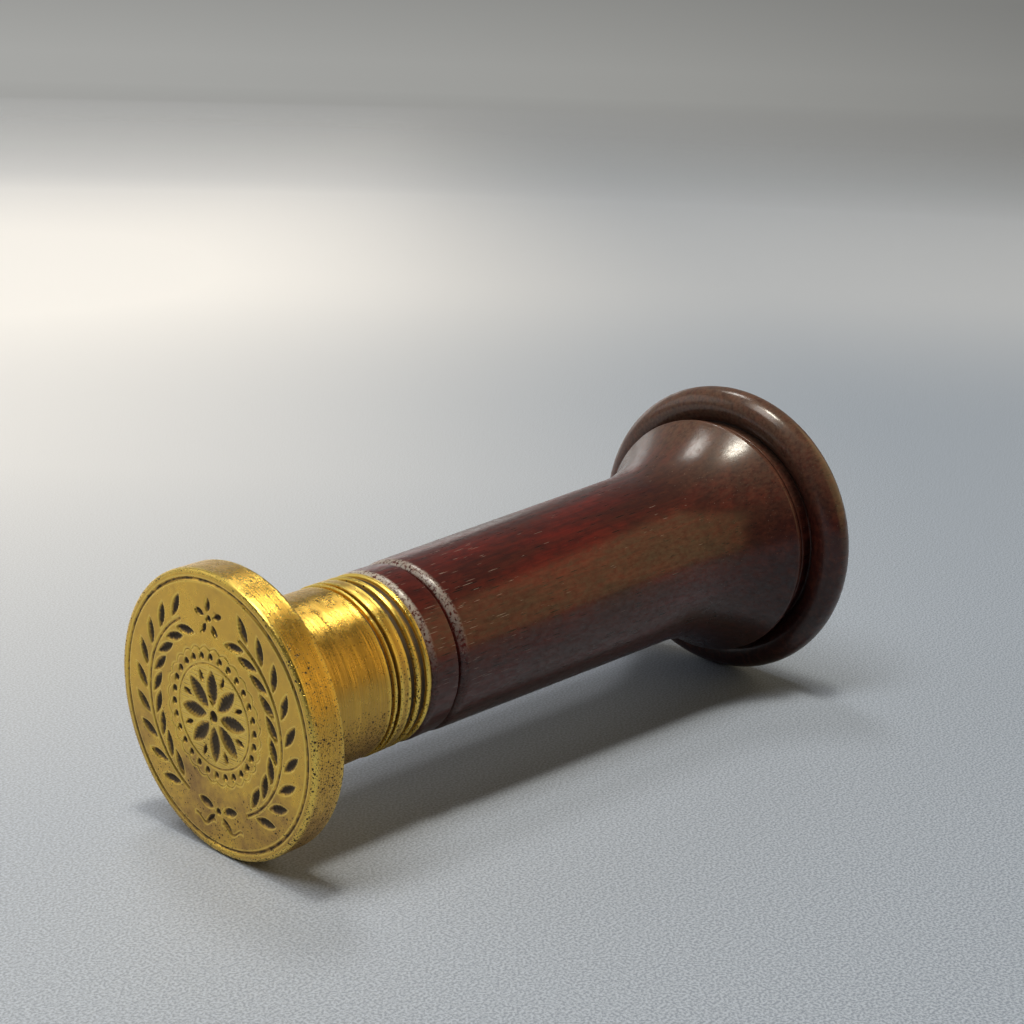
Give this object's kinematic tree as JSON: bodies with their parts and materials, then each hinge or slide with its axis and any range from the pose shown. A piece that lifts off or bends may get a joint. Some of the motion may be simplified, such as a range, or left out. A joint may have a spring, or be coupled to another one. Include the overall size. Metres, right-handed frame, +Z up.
{
  "type": "desk seal",
  "caption": "Hand-held wax seal: an engraved brass die on a turned neck, a beaded ferrule and a flared hardwood handle, lying on its side.",
  "frame": {"origin": "middle of the ground rectangle under the lying seal, on the surface it rests on", "axes": "+X along the seal from the die towards the rim of the handle, +Z up, the engraving upright"},
  "size_m": [0.0944, 0.0406, 0.0406],
  "materials": {
    "die_brass": "worn polish, dark patina in the cuts",
    "ferrule_brass": "worn polish, dark dirt in the grooves",
    "stud_steel": "as turned",
    "handle_wood": "dark red-brown, gloss varnish"
  },
  "bodies": {
    "root": {"seal_die": "die_brass", "ferrule": "ferrule_brass", "tang_stud": "stud_steel", "handle": "handle_wood"}
  },
  "joints": []
}
